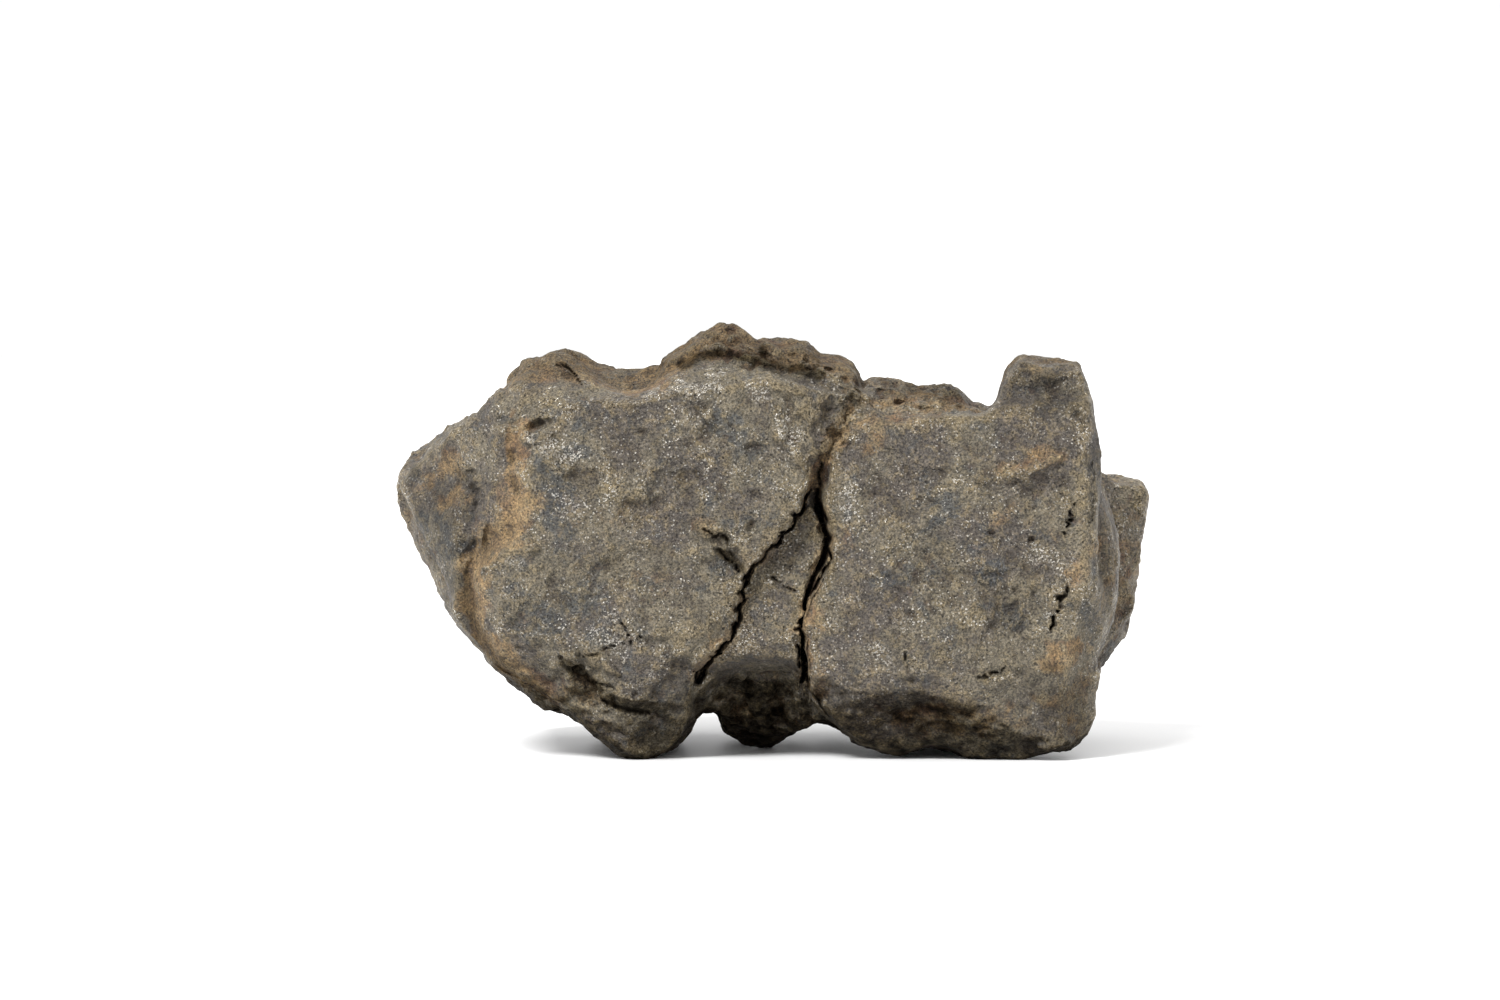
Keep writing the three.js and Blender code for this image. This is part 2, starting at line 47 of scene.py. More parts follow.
view = {  # where the camera stands: mm from frontZero, and degrees
    "lens": 100, "sensor": 36, "aim": (-1.467, 0, 17.6), "away": 277.8, "tilt": 2,
    "eye": (-1.467, 0, 27.3),  # the point that keeps its place in the picture, whatever its depth
}
plates = {  # crisp front plates: outline (x, z), how far they reach back, and the flat cuts that bevel them
    "left": {
        "outline": [
            (-18.4, 24.8), (-17.5, 25.4), (-16.2, 26.8), (-14.5, 27.5), (-13.2, 27.6), (-12.3, 26.3),
            (-11.0, 25.0), (-9.4, 24.6), (-8.0, 25.1), (-6.4, 26.5), (-4.8, 27.2), (-2.8, 26.8), (-0.5, 26.2),
            (1.9, 25.3), (4.9, 24.6), (4.6, 23.0), (4.2, 22.0), (3.4, 21.1), (2.8, 20.1), (2.7, 19.2),
            (2.4, 18.4), (2.0, 17.6), (1.95, 16.9), (1.4, 16.3), (1.1, 15.6), (0.5, 15.25), (0.2, 14.7),
            (-0.5, 14.15), (-0.8, 13.55), (-1.4, 13.15), (-1.7, 12.55), (-1.9, 12.0), (-2.3, 11.5), (-2.1, 10.9),
            (-2.5, 10.3), (-2.3, 9.7), (-2.7, 9.1), (-2.8, 8.5), (-3.3, 7.95), (-3.6, 7.35), (-4.3, 6.9),
            (-4.6, 6.4), (-5.1, 5.9), (-5.2, 5.2), (-5.5, 3.1), (-6.2, 1.3), (-7.2, 0.4), (-8.7, 0.1),
            (-10.2, 0.5), (-11.3, 1.4), (-12.9, 2.7), (-14.6, 3.8), (-16.6, 5.3), (-18.0, 6.3), (-18.7, 7.5),
            (-19.6, 9.2), (-20.0, 11.4), (-19.4, 13.2), (-17.4, 14.4), (-16.9, 17.5), (-17.6, 19.9),
            (-19.2, 21.4), (-19.4, 23.4),
        ],
        "reach": (-0.2, 7.0),
        "cuts": [
            ((-0.30, -0.85, -0.40), (-14.0, 0.1, 7.5)), ((-0.10, -0.9, -0.40), (-9.0, 0.3, 3.4)),
            ((0.35, -0.85, -0.40), (-5.0, 0.1, 8.0)), ((-0.50, -0.8, 0.30), (-15.8, -0.1, 20.5)),
            ((-0.55, -0.8, -0.10), (-18.3, 0.4, 11.0)), ((0.05, -0.6, 0.80), (-1.0, 0.1, 25.8)),
            ((-0.10, -0.6, 0.80), (-10.0, 0.1, 24.4)), ((0.50, -0.8, 0.25), (3.4, 0.0, 22.6)),
        ],
    },
    "right": {
        "outline": [
            (6.2, 23.2), (5.0, 21.9), (4.2, 20.8), (3.8, 19.8), (3.7, 18.6), (3.4, 17.8), (3.6, 17.0),
            (3.9, 16.3), (3.8, 15.7), (4.1, 15.0), (3.95, 14.4), (4.2, 13.6), (3.7, 12.9), (3.4, 12.3),
            (3.1, 11.6), (2.65, 11.1), (2.5, 10.4), (2.2, 9.8), (2.1, 9.0), (2.4, 8.3), (2.2, 7.6), (2.5, 6.9),
            (2.4, 6.2), (2.7, 5.5), (2.6, 4.8), (3.0, 4.1), (4.2, 2.6), (5.9, 1.0), (7.9, 0.5), (10.0, 0.8),
            (11.6, 1.2), (13.0, 0.4), (14.8, 0.1), (17.0, 0.3), (19.6, 0.8), (21.3, 1.7), (21.9, 3.1),
            (21.7, 4.4), (22.2, 5.5), (22.5, 7.5), (22.8, 9.4), (22.4, 11.2), (21.9, 12.5), (21.8, 14.5),
            (22.0, 17.5), (22.1, 21.6), (21.9, 22.9), (21.4, 24.2), (21.0, 25.6), (20.6, 26.8), (19.3, 27.2),
            (17.9, 27.1), (16.4, 27.4), (15.6, 27.1), (15.1, 25.6), (14.6, 24.1), (13.6, 23.4), (11.3, 23.3),
            (8.6, 23.4),
        ],
        "reach": (-0.2, 6.5),
        "cuts": [
            ((-0.10, -0.85, -0.55), (8.0, 0.0, 4.8)), ((0.10, -0.97, -0.22), (15.0, 0.0, 4.6)),
            ((0.65, -0.75, -0.20), (19.8, 0.1, 7.0)), ((0.85, -0.55, 0.0), (21.6, 0.6, 18.0)),
            ((-0.10, -0.5, 0.85), (9.0, 0.2, 23.0)), ((0.0, 0.8, 0.60), (18.0, 6.0, 26.0)),
        ],
    },
    "debris": {  # what fills the upper part of the main crack
        "outline": [
            (6.6, 24.9), (5.9, 25.4), (4.6, 24.4), (4.2, 22.6), (3.2, 21.4), (2.2, 20.2), (2.1, 17.6),
            (3.2, 17.2), (4.4, 18.8), (4.5, 20.4), (5.4, 21.8), (6.6, 23.2),
        ],
        "reach": (0.8, 8.0),
        "cuts": [((0.3, -0.8, -0.5), (3.6, 1.3, 19.4))],
    },
    "channel": {  # the floors of the ochre channel and of the hollow at the far left
        "outline": [
            (-18.9, 22.6), (-16.4, 22.6), (-15.9, 18.0), (-15.9, 13.2), (-17.6, 13.0), (-18.6, 15.0),
            (-18.9, 18.0),
        ],
        "reach": (0.75, 4.0),
        "cuts": [((-0.6, -0.8, 0.0), (-17.9, 0.9, 18.0))],
    },
    "flank": {  # the slanting face left of the ochre channel
        "outline": [
            (-25.0, 18.4), (-24.0, 20.6), (-21.0, 22.6), (-18.6, 23.9), (-17.4, 22.0), (-17.0, 15.0),
            (-18.0, 9.0), (-15.5, 5.4), (-18.6, 6.6), (-21.6, 10.6), (-23.6, 14.6), (-24.8, 16.8),
        ],
        "reach": (0.6, 10.0),
        "cuts": [
            ((-0.64, -0.76, 0.08), (-18.1, 0.9, 17.0)), ((-0.6, -0.6, -0.5), (-19.6, 2.4, 10.6)),
            ((-0.5, -0.6, 0.6), (-20.0, 2.8, 22.0)),
        ],
    },
    "slope": {  # the rough bank behind the right plate's top edge
        "outline": [
            (5.4, 21.5), (5.7, 24.6), (6.3, 25.7), (7.5, 25.9), (9.0, 25.7), (11.5, 25.5), (12.8, 25.1),
            (14.2, 24.2), (15.3, 23.4), (15.2, 21.5),
        ],
        "reach": (0.7, 8.0),
        "cuts": [((0.0, -0.5, 0.86), (10.0, 0.8, 23.3)), ((-0.7, -0.3, 0.5), (6.2, 2.0, 24.2))],
    },
    "crest": {
        "outline": [
            (-7.6, 26.5), (-6.2, 27.8), (-4.9, 28.8), (-3.4, 29.5), (-2.0, 29.4), (-1.1, 28.7), (0.2, 28.5),
            (1.9, 28.3), (3.0, 27.8), (3.5, 27.3), (4.6, 27.1), (5.6, 26.7), (6.0, 25.6), (5.8, 24.0),
            (3.0, 22.0), (-6.0, 22.0), (-8.0, 24.0),
        ],
        "reach": (3.4, 10.0),
        "cuts": [((0.0, -0.85, 0.5), (-2.0, 3.6, 27.6)), ((0.0, 0.6, 0.8), (-1.0, 8.6, 28.0))],
    },
}


def plateBmesh(plate):
    front, back = plate["reach"]
    bm = bmesh.new()
    face = bm.faces.new([bm.verts.new(toFrame((x, front, z))) for x, z in plate["outline"]])
    grown = bmesh.ops.extrude_face_region(bm, geom=[face], use_keep_orig=True)["geom"]
    moved = [v for v in grown if isinstance(v, bmesh.types.BMVert)]
    bmesh.ops.translate(bm, verts=moved, vec=(0, (back - front) * mm, 0))
    bmesh.ops.recalc_face_normals(bm, faces=bm.faces)
    bmesh.ops.triangulate(bm, faces=bm.faces)
    for facing, at in plate["cuts"]:
        everything = bm.verts[:] + bm.edges[:] + bm.faces[:]
        bmesh.ops.bisect_plane(
            bm, geom=everything, dist=1e-7, plane_co=toFrame(at), plane_no=facing, clear_outer=True)
        rim = [e for e in bm.edges if e.is_boundary]
        bmesh.ops.holes_fill(bm, edges=rim, sides=0)
        bmesh.ops.triangulate(bm, faces=bm.faces)
    return bm


def applied(obj):
    # the object's mesh with its modifiers worked in
    shape = bpy.data.meshes.new_from_object(obj.evaluated_get(bpy.context.evaluated_depsgraph_get()))
    obj.modifiers.clear()
    obj.data = shape
    return obj


def roughStone(voxel):
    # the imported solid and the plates, joined into one closed skin
    bm = bmesh.new()
    bm.from_mesh(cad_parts["meteorite"].data)
    bmesh.ops.remove_doubles(bm, verts=bm.verts, dist=1e-6)
    shape = bpy.data.meshes.new("stone")
    for plate in plates.values():
        part = plateBmesh(plate)
        part.to_mesh(shape)
        bm.from_mesh(shape)
        part.free()
    bm.to_mesh(shape)
    bm.free()
    stone = bpy.data.objects.new("stone", shape)
    scene.collection.objects.link(stone)
    skin = stone.modifiers.new("skin", "REMESH")
    skin.mode, skin.voxel_size = "VOXEL", voxel * mm
    return applied(stone)


detail = {"voxel": 0.15, "quickVoxel": 0.3, "mostFaces": 194000}  # the skin's steps in mm, and its faces at most
stone = roughStone(detail["voxel"])
print("stone joined:", len(stone.data.polygons), "faces")


class Skin:  # the stone's surface points, in mm from frontZero
    def __init__(self, obj):
        self.mesh = obj.data
        self.count = len(self.mesh.vertices)
        self.points = np.empty(self.count * 3)
        self.mesh.vertices.foreach_get("co", self.points)
        self.points = self.points.reshape(-1, 3) / mm - frontZero
        self.edges = np.empty(len(self.mesh.edges) * 2, int)
        self.mesh.edges.foreach_get("vertices", self.edges)
        self.edges = self.edges.reshape(-1, 2)
        self.valence = np.bincount(self.edges.ravel(), minlength=self.count)

    def write(self):
        self.mesh.vertices.foreach_set("co", ((self.points + frontZero) * mm).ravel())
        self.mesh.update()

    def normals(self):
        self.write()
        found = np.empty(self.count * 3)
        self.mesh.vertex_normals.foreach_get("vector", found)
        return found.reshape(-1, 3)

    def averaged(self, values, rounds):  # each point takes the mean of its neighbours
        a, b = self.edges.T
        for _ in range(rounds):
            total = [np.bincount(a, v[b], self.count) + np.bincount(b, v[a], self.count) for v in values.T]
            values = (np.array(total) / self.valence).T
        return values

    def lift(self, height):
        self.points += self.normals() * height[:, None]

    def frontShare(self, reach):  # 1 on what looks to the front and isn't deeper than reach
        facing = np.clip(-self.normals()[:, 1] * 2.5 - 0.2, 0, 1)
        return facing * np.clip((reach - self.points[:, 1]) / 1.5, 0, 1)

    def share(self, settings):  # how much of a relief the front plates take, and how much the rest
        return settings["front"] + (settings["back"] - settings["front"]) * smoothStep(2.5, 5.0, self.points[:, 1])

    def keep(self, name, values):
        layer = self.mesh.attributes.new(name, "FLOAT", "POINT")
        layer.data.foreach_set("value", values.astype(np.float32))


def swell(points, size, rounds, seed=0):  # rounded noise, lumps of that size in mm
    return np.array([noise.fractal(p, 1.0, 2.0, rounds) for p in (points / size + seed * 7.3).tolist()])


def jagged(points, size, rounds, seed):  # noise with sharp crests
    return np.array([noise.ridged_multi_fractal(p, 1.0, 2.0, rounds, 0.9, 1.8)
                     for p in (points / size + seed * 7.3).tolist()]) - 0.9


def smoothStep(low, high, value):
    t = np.clip((value - low) / (high - low), 0, 1)
    return t * t * (3 - 2 * t)


def stroke(points, path, width, wobble, taper=0.3):
    # seen from the front: 1 on a line, 0 beyond its half width, which is ragged and narrows to taper at both ends
    path = np.array(path, float)
    low, high = path.min(0) - 2.5 * width, path.max(0) + 2.5 * width
    place = points[:, [0, 2]]
    near = np.flatnonzero((place > low).all(1) & (place < high).all(1))
    bend = wobble[near, None] * (0.22, -0.18)  # lines wander a little
    place, away, share = place[near] + bend, np.full(len(near), 1e9), np.zeros(len(near))
    lengths = np.linalg.norm(np.diff(path, axis=0), axis=1)
    for a, b, run, length in zip(path[:-1], path[1:], np.cumsum(lengths) - lengths, lengths):
        along = np.clip((place - a) @ (b - a) / length ** 2, 0, 1)
        off = np.linalg.norm(place - a - along[:, None] * (b - a), axis=1)
        share = np.where(off < away, (run + along * length) / lengths.sum(), share)
        away = np.minimum(away, off)
    full = width * (taper + (1 - taper) * np.sqrt(4 * share * np.maximum(1 - share, 0))) * (1 + 1.1 * wobble[near])
    found = np.zeros(len(points))
    found[near] = np.clip(1 - away / np.maximum(full, width * 0.1), 0, 1)
    return found


def ragged(points):  # how the cracks' edges wander, the same at every depth
    return 0.9 * swell(points * (1, 0, 1), 0.6, 3, 4)


def inSpot(points, at, size, turn):  # 0 at the middle of a turned oval, 1 at its edge, seen from the front
    angle = math.radians(turn)
    x, z = points[:, 0] - at[0], points[:, 2] - at[1]
    u, v = x * math.cos(angle) + z * math.sin(angle), z * math.cos(angle) - x * math.sin(angle)
    return np.hypot(u / size[0], v / size[1])


carving = {
    "soften": 3,  # rounds of averaging before anything is carved
    "wear": 22,  # rounds of averaging in the soft places
    "buckle": [{"size": 5.0, "depth": 0.5}, {"size": 2.0, "depth": 0.16}],  # waves in the front plates, in mm
    "sway": {"size": 7.0, "reach": 2.6},  # how the middle of the back bends to the left and right, in mm
    "facets": [  # size of the broken faces, how flat, how far they step, share left on the front plates
        {"size": 3.4, "flat": 0.75, "step": 0.12, "front": 0.15, "back": 1.0},
        {"size": 1.5, "flat": 0.6, "step": 0.05, "front": 0.35, "back": 0.8},
    ],
    "grain": [  # size, height and rounds of the finer relief
        {"size": 1.3, "height": 0.16, "rounds": 3, "front": 0.3, "back": 0.8},
        {"size": 2.4, "height": 0.13, "rounds": 4, "front": 0.8, "back": 0.75},
        {"size": 0.7, "height": 0.10, "rounds": 3, "front": 1.0, "back": 0.8},
    ],
    "knobs": {"round": (1.3, 0.46), "sharp": (1.0, 0.34)},  # size and height of the relief on the rough places
    "pits": {"count": 420, "radius": (0.15, 0.5), "depth": 0.35, "seed": 8},
    "dents": [  # middle (x, z), half size, turn in degrees, depth
        ((-4.2, 21.6), (1.9, 1.3), -20, 0.35), ((-1.3, 21.1), (0.7, 0.6), 0, 0.35),
        ((1.2, 22.9), (0.8, 1.6), 20, 0.5), ((3.6, 23.7), (0.5, 0.5), 0, 0.4),
        ((-3.6, 15.0), (1.1, 0.5), -12, 0.45), ((-2.7, 14.0), (1.0, 0.45), -50, 0.5),
        ((-1.4, 15.9), (0.25, 0.5), -30, 0.3), ((-1.6, 6.7), (1.2, 0.5), 10, 0.35),
        ((0.9, 6.2), (0.8, 0.5), -20, 0.35), ((-3.2, 13.3), (1.4, 1.1), 0, 0.35),
        ((-12.6, 5.7), (2.6, 1.1), -50, 0.7), ((-8.6, 22.2), (0.6, 0.35), 0, 0.3),
        ((3.4, 22.4), (1.1, 1.9), -15, 0.45), ((-15.4, 22.7), (1.2, 0.45), 15, 0.8),
        ((-13.6, 25.8), (1.3, 0.4), -35, 0.7), ((-4.4, 28.1), (0.6, 0.4), 0, 0.6),
        ((-2.2, 28.3), (0.7, 0.4), 20, 0.6), ((-0.2, 27.8), (0.5, 0.4), 0, 0.7),
        ((1.6, 27.5), (0.8, 0.4), -10, 0.7), ((3.9, 26.5), (0.6, 0.4), -30, 0.7),
        ((4.9, 25.6), (0.4, 0.5), 0, 0.6), ((-20.4, 18.2), (0.9, 1.4), 15, 0.9),
        ((-17.6, 20.9), (0.5, 0.9), 0, 0.6), ((-17.3, 18.6), (0.5, 0.8), 0, 0.6),
        ((9.2, 5.4), (0.5, 0.4), 0, 0.4), ((9.7, 4.7), (0.4, 0.35), 0, 0.4), ((14.6, 15.4), (0.4, 0.25), 0, 0.4),
        ((17.3, 14.9), (0.35, 0.25), 30, 0.4), ((8.8, 24.1), (0.9, 0.35), 0, 0.7),
        ((10.0, 23.6), (0.9, 0.35), 0, 0.8), ((12.8, 23.9), (0.8, 0.35), 10, 0.7),
        ((14.1, 23.8), (0.5, 0.3), 0, 0.5), ((11.6, 24.8), (0.8, 0.4), 0, 0.5), ((7.2, 24.9), (0.7, 0.4), 0, 0.6),
        ((20.3, 23.2), (0.4, 0.35), 0, 0.3), ((-6.5, 18.5), (3.4, 1.6), 10, 0.3),
        ((12.0, 12.0), (4.5, 2.5), -20, 0.3), ((9.0, 18.5), (3.4, 1.6), 12, 0.35),
        ((17.6, 18.2), (2.8, 1.2), 20, 0.35), ((-11.5, 12.0), (2.8, 2.0), 30, 0.35),
        ((-12.7, 19.0), (1.5, 0.9), -25, 0.35), ((-0.8, 18.2), (1.2, 0.8), 0, 0.25),
        ((-6.8, 7.2), (1.8, 0.9), -35, 0.4), ((7.0, 9.5), (2.6, 1.7), 0, 0.25),
        ((15.5, 11.0), (1.6, 2.4), 15, 0.3), ((-9.3, 16.8), (1.9, 1.0), 20, 0.3),
        ((-16.4, 9.0), (1.4, 2.2), 10, 0.35), ((18.6, 24.6), (1.6, 1.4), 0, 0.3),
    ],
    "ridges": [  # path, half width, height
        ([(-12.2, 24.4), (-9.5, 23.9), (-7.4, 24.7), (-5.5, 26.0), (-3.2, 26.0), (-0.5, 25.4),
          (2.0, 24.7)], 1.0, 0.25),
        ([(-5.2, 23.9), (-4.5, 23.6), (-3.9, 23.0)], 0.6, 0.45),
        ([(0.2, 22.4), (0.7, 21.4), (1.8, 20.6), (2.2, 19.4)], 0.6, 0.4),
        ([(-5.1, 16.0), (-4.2, 15.6), (-3.3, 15.6)], 0.8, 0.35),
        ([(13.8, 18.9), (15.3, 19.2), (17.3, 19.6), (19.3, 20.6)], 0.8, 0.4),
        ([(-16.9, 21.6), (-15.8, 21.6), (-14.6, 22.0)], 0.6, 0.4),
        ([(-15.2, 20.2), (-14.2, 19.6), (-13.2, 19.8)], 0.6, 0.3),
        ([(-11.6, 5.0), (-9.6, 4.3), (-7.8, 4.2)], 0.6, 0.45),
        ([(-19.4, 13.0), (-17.6, 14.2), (-15.6, 14.4)], 0.8, 0.4),
        ([(4.1, 19.0), (3.9, 17.0), (4.2, 15.2)], 0.45, 0.15),
        ([(21.6, 20.0), (21.6, 17.0), (21.5, 14.8)], 0.5, 0.3), ([(4.3, 5.4), (7.0, 4.4), (9.5, 5.0)], 1.0, 0.2),
        ([(11.0, 4.4), (14.0, 5.1), (16.5, 6.4)], 1.1, 0.22),
        ([(-5.4, 6.4), (-4.4, 7.3), (-3.2, 8.1)], 0.5, 0.35),
        ([(-14.8, 6.3), (-12.4, 7.4), (-10.2, 6.0)], 0.6, 0.35),
        ([(16.2, 9.0), (17.0, 11.5), (18.4, 13.0)], 0.7, 0.25),
        ([(15.8, 26.4), (18.2, 26.2), (20.6, 26.0)], 0.7, 0.3),
    ],
    "troughs": [  # path, half width, depth
        ([(-17.4, 22.4), (-17.6, 20.4), (-17.4, 18.6), (-17.0, 16.8), (-17.6, 15.2)], 1.1, 0.3),
        ([(-0.9, 29.2), (-0.7, 28.2), (-0.4, 27.2)], 0.5, 0.7),
        ([(3.1, 28.4), (3.2, 27.4), (2.8, 26.4)], 0.5, 0.7),
        ([(-3.6, 28.4), (-2.4, 27.8), (-0.4, 27.4)], 0.5, 0.4),
        ([(5.9, 25.0), (5.2, 23.2), (4.4, 21.9), (3.6, 20.8), (3.2, 19.6), (3.1, 18.0)], 0.7, 0.5),
        ([(3.7, 14.0), (3.0, 12.2), (2.4, 10.2), (2.2, 8.0), (2.3, 5.2)], 0.7, 0.45),
        ([(-17.6, 15.4), (-19.4, 14.3), (-20.4, 12.6), (-20.6, 10.6), (-20.0, 8.6), (-18.7, 6.7),
          (-16.8, 4.8)], 0.9, 0.8),
    ],
    "soft": [  # places worn smooth before the fine relief: middle (x, z), half size, turn
        ((-17.6, 17.6), (2.3, 5.8), 0), ((-9.6, 25.7), (4.6, 1.7), 0), ((10.5, 3.8), (9.0, 2.6), 0),
        ((-20.2, 9.8), (1.8, 5.0), 20), ((-22.8, 16.0), (3.4, 7.0), 0), ((24.0, 13.0), (2.4, 8.0), 0),
    ],
    "rough": [  # places broken and knobbly: middle (x, z), half size, turn
        ((-0.6, 27.6), (5.8, 1.9), -12), ((10.4, 24.7), (5.4, 1.3), 0), ((4.8, 22.6), (1.3, 3.4), -25),
        ((0.0, 3.6), (4.0, 2.6), 0), ((-12.2, 5.2), (2.6, 1.3), -35),
    ],
    "cracks": [  # path, half width, depth
        ([(2.6, 18.2), (2.2, 17.6), (2.15, 16.9), (1.6, 16.3), (1.3, 15.6), (0.7, 15.3), (0.4, 14.7),
          (-0.3, 14.2), (-0.6, 13.6), (-1.2, 13.2), (-1.5, 12.6), (-1.7, 12.0), (-2.1, 11.5), (-1.9, 10.9),
          (-2.3, 10.3), (-2.1, 9.7), (-2.5, 9.1), (-2.6, 8.5), (-3.1, 8.0), (-3.4, 7.4), (-4.1, 7.0), (-4.4, 6.5),
          (-5.0, 6.0), (-5.1, 5.2)], 0.17, 1.4),
        ([(3.5, 20.0), (3.2, 19.3), (3.25, 18.6), (3.0, 17.8)], 0.14, 0.8),
        ([(3.1, 18.2), (3.0, 17.6), (3.3, 17.0), (3.6, 16.3), (3.5, 15.7), (3.9, 15.0), (3.7, 14.4),
          (4.0, 13.6)], 0.25, 2.0),
        ([(4.0, 13.6), (3.5, 12.9), (3.2, 12.3), (2.9, 11.6), (2.4, 11.1), (2.3, 10.4), (1.9, 9.8)], 0.13, 1.2),
        ([(2.0, 9.8), (1.8, 9.0), (2.1, 8.3), (1.9, 7.6), (2.2, 6.9), (2.1, 6.2), (2.4, 5.5),
          (2.3, 4.8)], 0.27, 2.0),
        ([(2.6, 4.7), (3.2, 4.0), (3.4, 3.4), (3.9, 2.9)], 0.15, 0.8),
        ([(0.0, 12.4), (0.6, 11.9), (1.7, 11.4)], 0.10, 0.35),
        ([(-9.9, 9.4), (-9.6, 8.6), (-9.4, 7.9)], 0.07, 0.28),
        ([(-12.5, 7.1), (-10.9, 7.7), (-9.9, 8.0), (-8.7, 8.5)], 0.07, 0.28),
        ([(-11.4, 4.1), (-9.9, 3.6), (-8.2, 3.2)], 0.34, 0.2),
        ([(20.2, 17.4), (19.9, 16.9), (20.0, 16.4), (19.6, 15.9), (19.4, 15.3)], 0.08, 0.5),
        ([(20.0, 12.3), (19.6, 11.9), (19.7, 11.4), (19.2, 11.0), (19.3, 10.4), (18.8, 9.9), (18.9, 9.2),
          (18.4, 8.7)], 0.10, 0.7),
        ([(-4.7, 15.7), (-3.9, 15.3), (-3.4, 15.4), (-2.9, 14.9)], 0.12, 0.4),
        ([(-4.0, 14.3), (-3.4, 14.2), (-3.0, 13.6), (-2.5, 13.4), (-2.2, 12.8)], 0.14, 0.5),
        ([(-14.6, 26.6), (-13.9, 26.5), (-13.3, 26.0), (-12.8, 25.3)], 0.13, 0.6),
        ([(13.6, 5.6), (14.6, 5.9), (15.6, 6.4)], 0.12, 0.25), ([(8.8, 7.6), (9.0, 6.4), (9.4, 5.2)], 0.08, 0.25),
    ],
}


def facet(skin, settings):
    # groups the points into cells, and flattens each cell towards its own plane, a little up or down
    normals = skin.normals()
    warp = np.array([swell(skin.points, settings["size"] * 0.7, 2, k) for k in (1, 2, 3)]).T
    warp *= settings["size"] * 0.35  # bends the cells' edges
    spots = [noise.voronoi(p)[1][0].to_tuple(3) for p in ((skin.points + warp) / settings["size"]).tolist()]
    _, cell, size = np.unique(np.array(spots), axis=0, return_inverse=True, return_counts=True)
    cell = cell.ravel()
    middle = np.array([np.bincount(cell, v) for v in skin.points.T]).T / size[:, None]
    facing = np.array([np.bincount(cell, v) for v in normals.T]).T
    even = np.linalg.norm(facing, axis=1) / size  # near 1 where a cell holds one side of the stone only
    facing /= np.linalg.norm(facing, axis=1)[:, None]
    step = np.random.default_rng(3).normal(size=len(size)) * settings["step"]
    height = np.einsum("ij,ij->i", skin.points - middle[cell], facing[cell])
    share = smoothStep(0.6, 0.9, even)[cell] * skin.share(settings)
    skin.points += facing[cell] * ((step[cell] - height * settings["flat"]) * share)[:, None]


outlines = {  # how far the stone reaches as the camera sees it, scaled to the front plane
    "top": [  # x, z
        (-24.5, 20.5), (-23.5, 21.1), (-22.5, 21.9), (-21.5, 22.7), (-20.5, 23.1), (-19.5, 23.9), (-18.5, 24.8),
        (-17.5, 26.1), (-16.5, 27.1), (-15.5, 27.1), (-14.5, 27.6), (-13.5, 27.7), (-12.5, 27.3), (-11.5, 26.7),
        (-9.5, 26.5), (-8.5, 26.5), (-7.5, 27.0), (-6.5, 27.7), (-5.5, 28.5), (-4.5, 29.0), (-3.5, 29.5),
        (-2.4, 29.4), (-1.6, 28.9), (-1.2, 28.5), (-0.5, 28.6), (1.5, 28.4), (2.5, 28.2), (3.0, 27.5),
        (4.5, 27.4), (5.5, 26.9), (6.0, 25.5), (6.5, 25.9), (8.5, 25.7), (9.5, 25.4), (11.5, 25.5), (12.5, 25.2),
        (13.5, 24.4), (14.6, 24.0), (15.1, 24.8), (15.4, 26.4), (15.9, 27.0), (16.5, 27.4), (18.5, 27.1),
        (20.5, 26.9), (21.3, 24.8), (21.9, 21.5), (22.5, 19.4), (23.5, 19.3), (24.2, 19.0), (24.8, 18.2),
    ],
    "left": [  # z, x
        (2.6, -12.5), (3.6, -15.5), (4.6, -16.7), (6.6, -19.0), (8.6, -20.7), (10.6, -22.1), (12.6, -22.8),
        (14.6, -23.9), (16.6, -24.8), (18.6, -25.2), (20.4, -24.5),
    ],
    "right": [
        (2.6, 21.7), (4.6, 21.6), (6.6, 22.3), (8.6, 23.8), (10.6, 24.2), (12.6, 24.5), (14.6, 24.7),
        (16.6, 25.1), (18.0, 24.8),
    ],
}


rims = [  # outline, axis that it runs along, sign of outwards, mm over which the fit fades, most mm that it moves
    ("top", 0, 1, 2.6, 2.0), ("left", 2, -1, 3.0, 1.0), ("right", 2, 1, 3.0, 1.0),
]


def fitOutline(skin, name, along, way, reach, most):
    # moves the rim that the camera sees out or in to its outline
    step = 0.3  # mm of the outline that share one rim
    seen = np.array(view["eye"])
    scale = view["away"] / (view["away"] + skin.points[:, 1])
    place = (skin.points - seen) * scale[:, None] + seen
    run, rise = place[:, along], place[:, 2 - along] * way
    goal = np.array(outlines[name])
    cell = np.floor(run / step).astype(int)
    inside = (run > goal[0, 0]) & (run < goal[-1, 0])
    if along == 2:
        inside &= rise > 10  # the stone's own side, not the other one
    lowest = cell.min()
    edge = np.full(cell.max() - lowest + 1, -1e9)
    np.maximum.at(edge, cell - lowest, rise)
    centres = (np.arange(len(edge)) + lowest + 0.5) * step
    now = np.interp(run, centres, edge)
    shift = np.clip(np.interp(run, goal[:, 0], goal[:, 1] * way) - now, -most, most)
    shift *= smoothStep(-reach, -0.2, rise - now) * inside
    shift *= smoothStep(0, 1.0, np.minimum(run - goal[0, 0], goal[-1, 0] - run))
    skin.points[:, 2 - along] += way * skin.averaged(shift[:, None], 5)[:, 0] / scale
    moved = np.minimum(np.abs(shift) / 0.5, 1)[:, None]
    skin.points += (skin.averaged(skin.points, 5) - skin.points) * moved


def sway(skin):  # the far corners and the resting flats stay where they are
    x, y, z = skin.points.T
    bend = swell(skin.points * (0.4, 1, 1), carving["sway"]["size"], 3, 14) * smoothStep(18.0, 12.0, np.abs(x))
    skin.points[:, 0] += carving["sway"]["reach"] * bend * smoothStep(4.0, 9.0, y) * smoothStep(0.5, 4.0, z)


